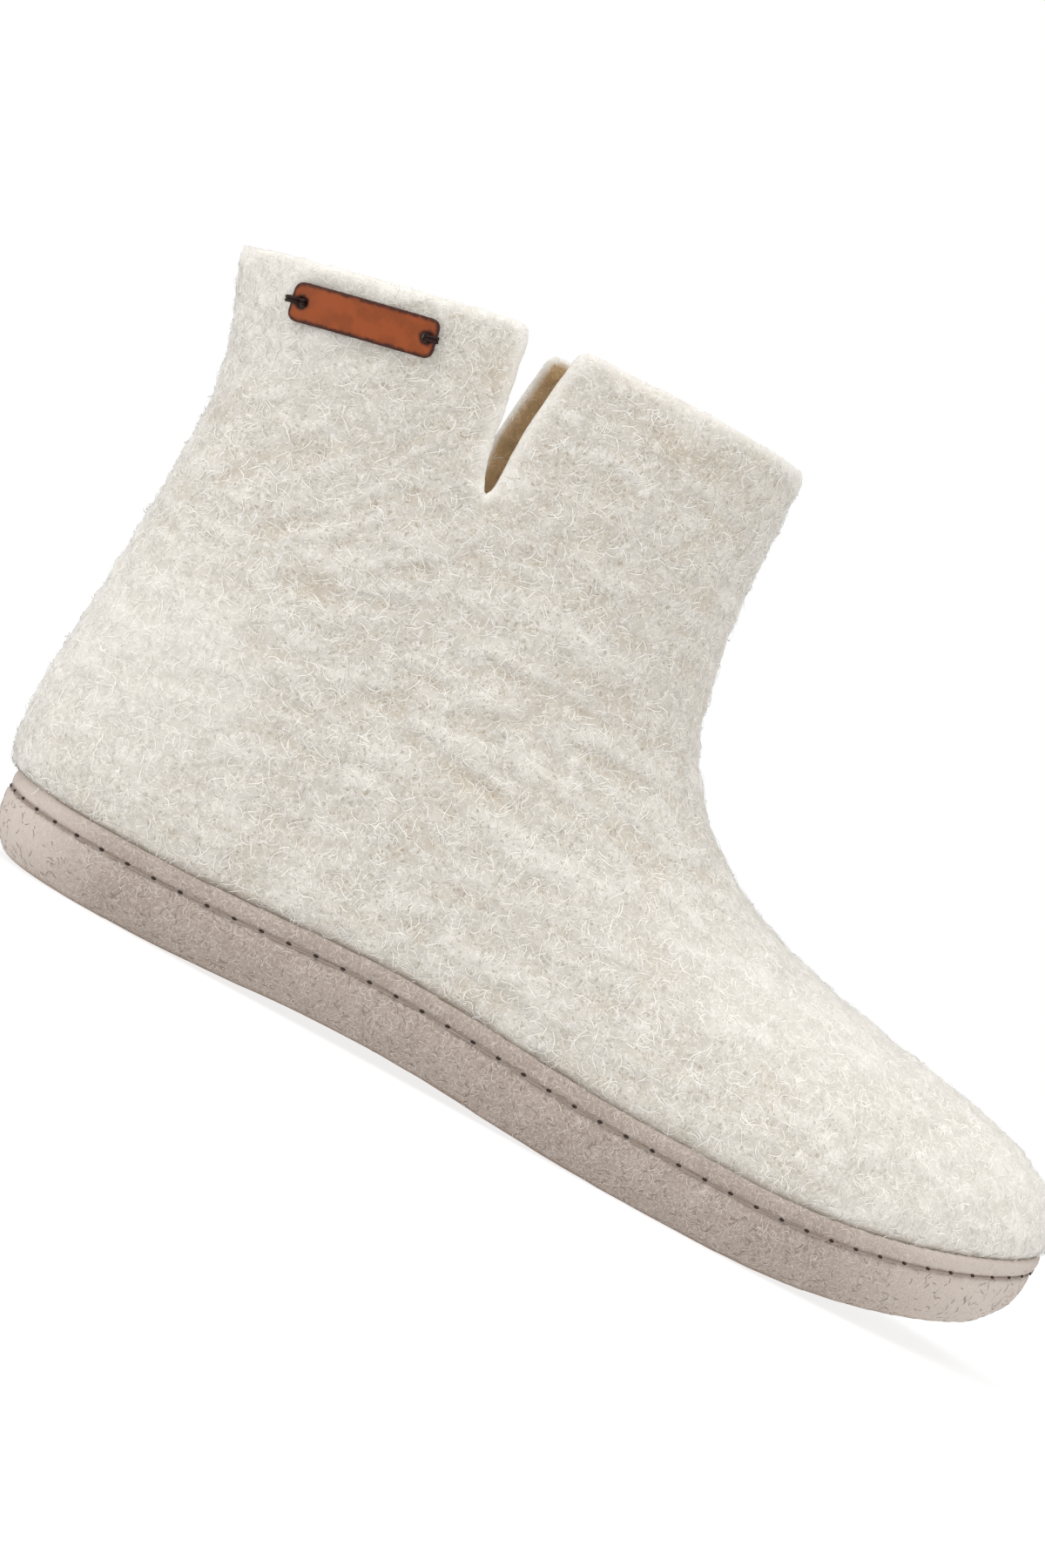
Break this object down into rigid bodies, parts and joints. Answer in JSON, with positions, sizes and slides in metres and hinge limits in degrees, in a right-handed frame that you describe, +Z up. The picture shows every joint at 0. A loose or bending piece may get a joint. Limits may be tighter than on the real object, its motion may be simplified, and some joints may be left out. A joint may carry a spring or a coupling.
{
  "type": "wool boot",
  "caption": "Ankle-high boot of thick white felted wool with a slit in each side of the collar and a low suede-covered sole.",
  "frame": {"origin": "centre of the heel's flat spot, on the floor that the boot stands on", "axes": "+X towards the toe, +Y towards the inner side of the foot, +Z up"},
  "size_m": [0.2923, 0.0993, 0.174],
  "materials": {
    "felt": "thick felted wool with a curly nap",
    "insole_felt": "smooth pressed felt",
    "suede": "short napped suede",
    "tread_suede": "worn suede",
    "tag_leather": "smooth tanned leather",
    "waxed_cord": "waxed cord"
  },
  "bodies": {
    "root": {"upper": "felt", "insole": "insole_felt", "midsole": "suede", "rand": "suede", "outsole": "tread_suede", "label": "tag_leather", "label_tie_back": "waxed_cord", "label_tie_front": "waxed_cord"}
  },
  "joints": []
}
